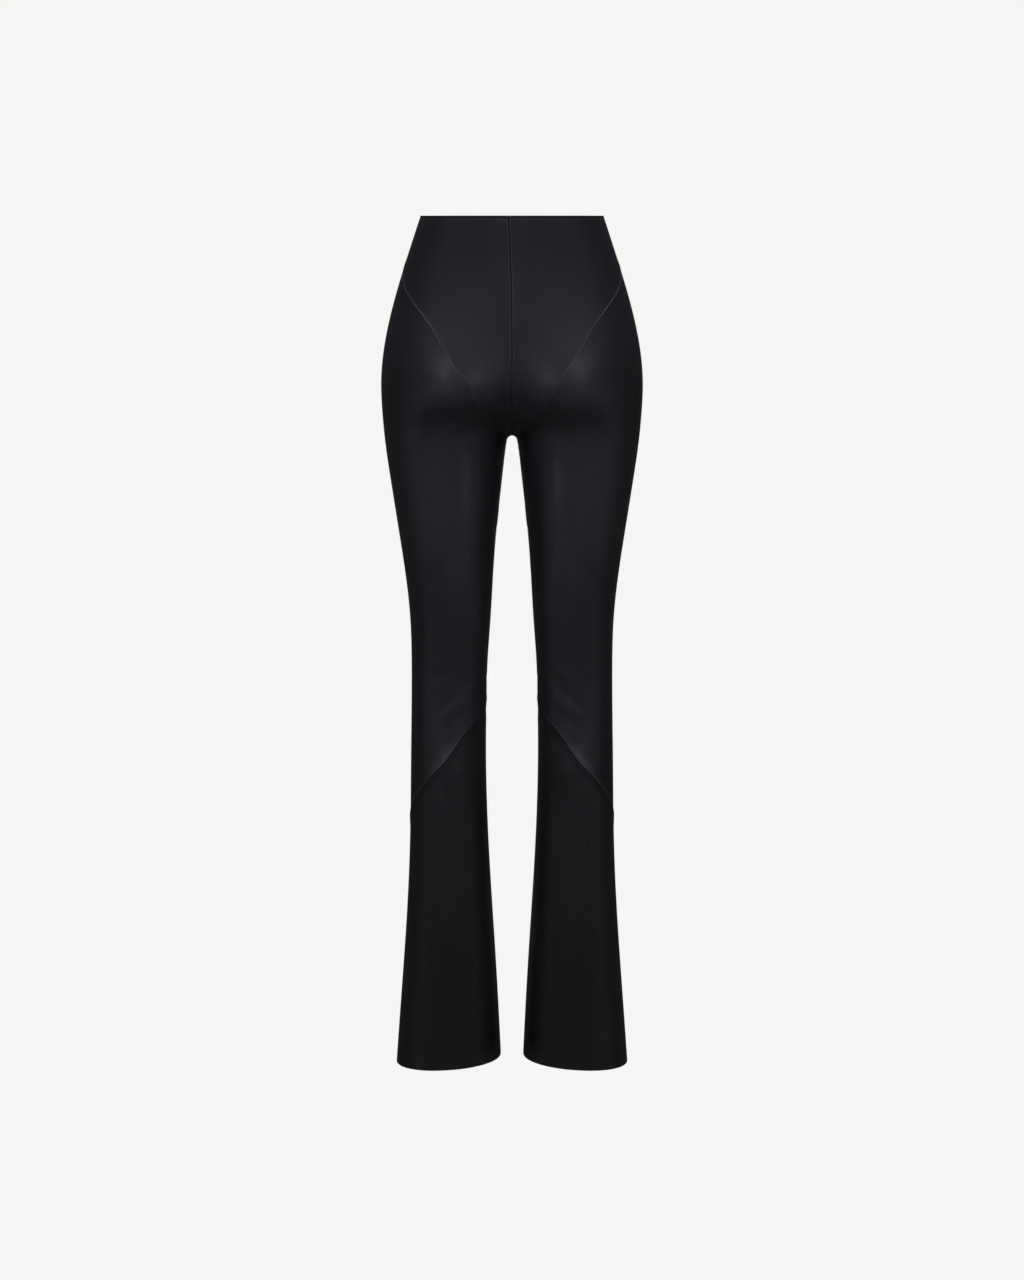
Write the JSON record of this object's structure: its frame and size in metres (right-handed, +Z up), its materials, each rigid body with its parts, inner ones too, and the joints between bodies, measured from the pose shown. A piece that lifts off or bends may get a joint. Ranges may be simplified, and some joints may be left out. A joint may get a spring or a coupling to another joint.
{
  "type": "faux leather flared trousers",
  "caption": "High-waisted, close-fitting faux leather trousers that flare from the knee, with V seams over the seat, filled out as if worn but with no wearer.",
  "frame": {"origin": "middle of the waist opening, level with its edge, where the wearer's waist holds the garment up", "axes": "+Z up, from the hems to the waist; -Y is the back, which the picture shows, and +Y the front; +X is the right of the picture"},
  "size_m": [0.3356, 0.2309, 1.0992],
  "materials": {
    "faux_leather": "black coated cloth, fine grain, soft satin sheen; dark knitted backing inside",
    "zip_tape": "black woven tape",
    "zip_coil": "black nylon coil",
    "zip_slider": "black lacquered metal"
  },
  "bodies": {
    "root": {"back_yoke_left": "faux_leather", "back_yoke_right": "faux_leather", "back_thigh_left": "faux_leather", "back_thigh_right": "faux_leather", "back_lower_left": "faux_leather", "back_lower_right": "faux_leather", "front_left": "faux_leather", "front_right": "faux_leather", "zip_tape_left": "zip_tape", "zip_tape_right": "zip_tape", "zip_coil": "zip_coil", "zip_slider": "zip_slider"}
  },
  "joints": []
}
